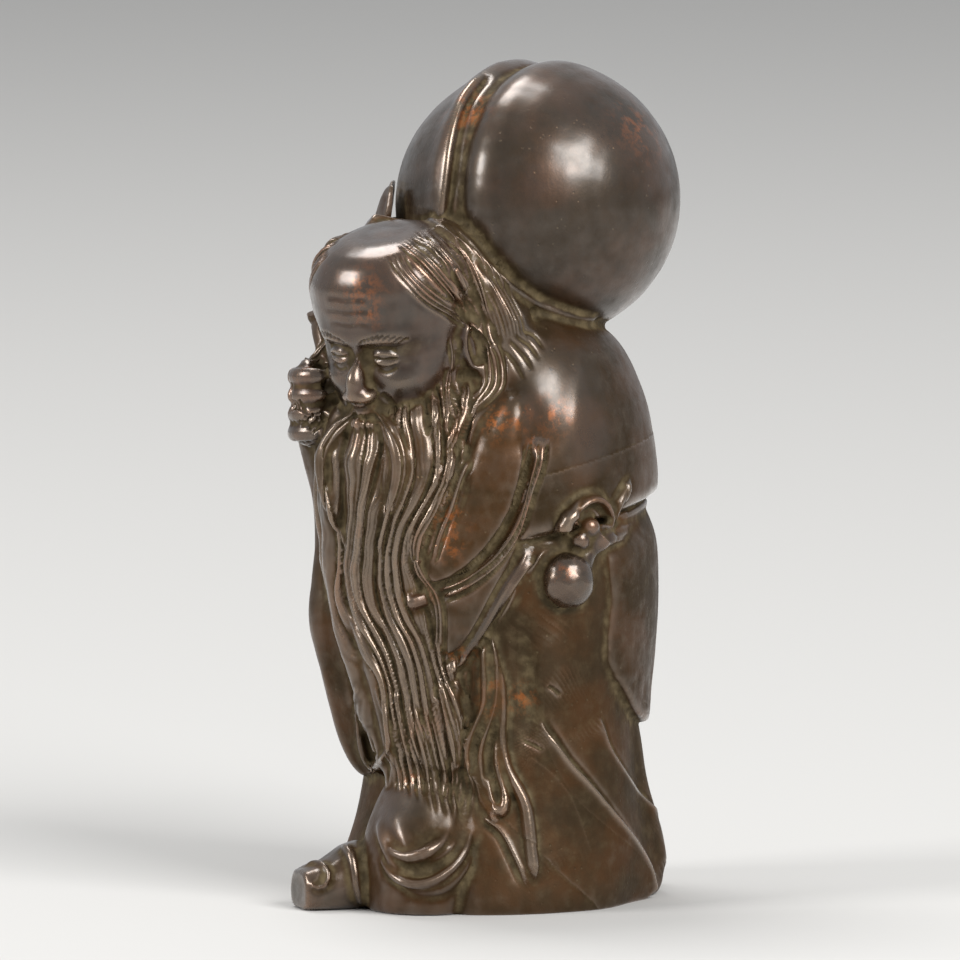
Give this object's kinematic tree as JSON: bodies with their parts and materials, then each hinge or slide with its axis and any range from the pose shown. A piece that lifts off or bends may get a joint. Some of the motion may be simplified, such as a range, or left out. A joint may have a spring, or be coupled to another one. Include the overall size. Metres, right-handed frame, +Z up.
{
  "type": "longevity god statue",
  "caption": "Small cast bronze figure of the god of longevity, a stooped old man with a domed head and long beard, carrying a large peach on the back and a gourd at the waist.",
  "frame": {"origin": "on the flat underside, under the upright axis that the body is built on", "axes": "+Z up; the figure looks along -Y, and +X is its left hand's side"},
  "size_m": [0.0223, 0.0301, 0.0577],
  "materials": {
    "bronze_robe": "cast bronze with a dark brown patina, dull olive brown in the folds and rubbed bright on the high places",
    "bronze_skin": "cast bronze with a dark brown patina, rubbed to copper red on the dome and knuckles",
    "bronze_hair": "cast bronze with a dark brown patina, chased strands with dull brown in the grooves",
    "bronze_fruit": "cast bronze with a dark brown patina, handled to a soft polish",
    "bronze_trim": "cast bronze with a dark brown patina, edges rubbed to copper red"
  },
  "bodies": {
    "root": {"robe_skirt": "bronze_robe", "waist_sash": "bronze_robe", "robe_jacket": "bronze_robe", "knee_drape": "bronze_robe", "left_lower_sleeve": "bronze_robe", "right_sleeve": "bronze_robe", "left_short_sleeve": "bronze_robe", "robe_side_panel": "bronze_robe", "robe_back_panel": "bronze_robe", "collar": "bronze_robe", "shoe": "bronze_robe", "head": "bronze_skin", "right_hand": "bronze_skin", "left_hand": "bronze_skin", "hair_left": "bronze_hair", "hair_right": "bronze_hair", "beard": "bronze_hair", "moustache_left": "bronze_hair", "moustache_right": "bronze_hair", "peach": "bronze_fruit", "peach_branch": "bronze_fruit", "peach_leaf_near": "bronze_fruit", "peach_leaf_far": "bronze_fruit", "gourd": "bronze_fruit", "left_sleeve_piping": "bronze_trim", "sash_ribbon_front": "bronze_trim", "sash_ribbon_back": "bronze_trim", "waist_knot": "bronze_trim"}
  },
  "joints": []
}
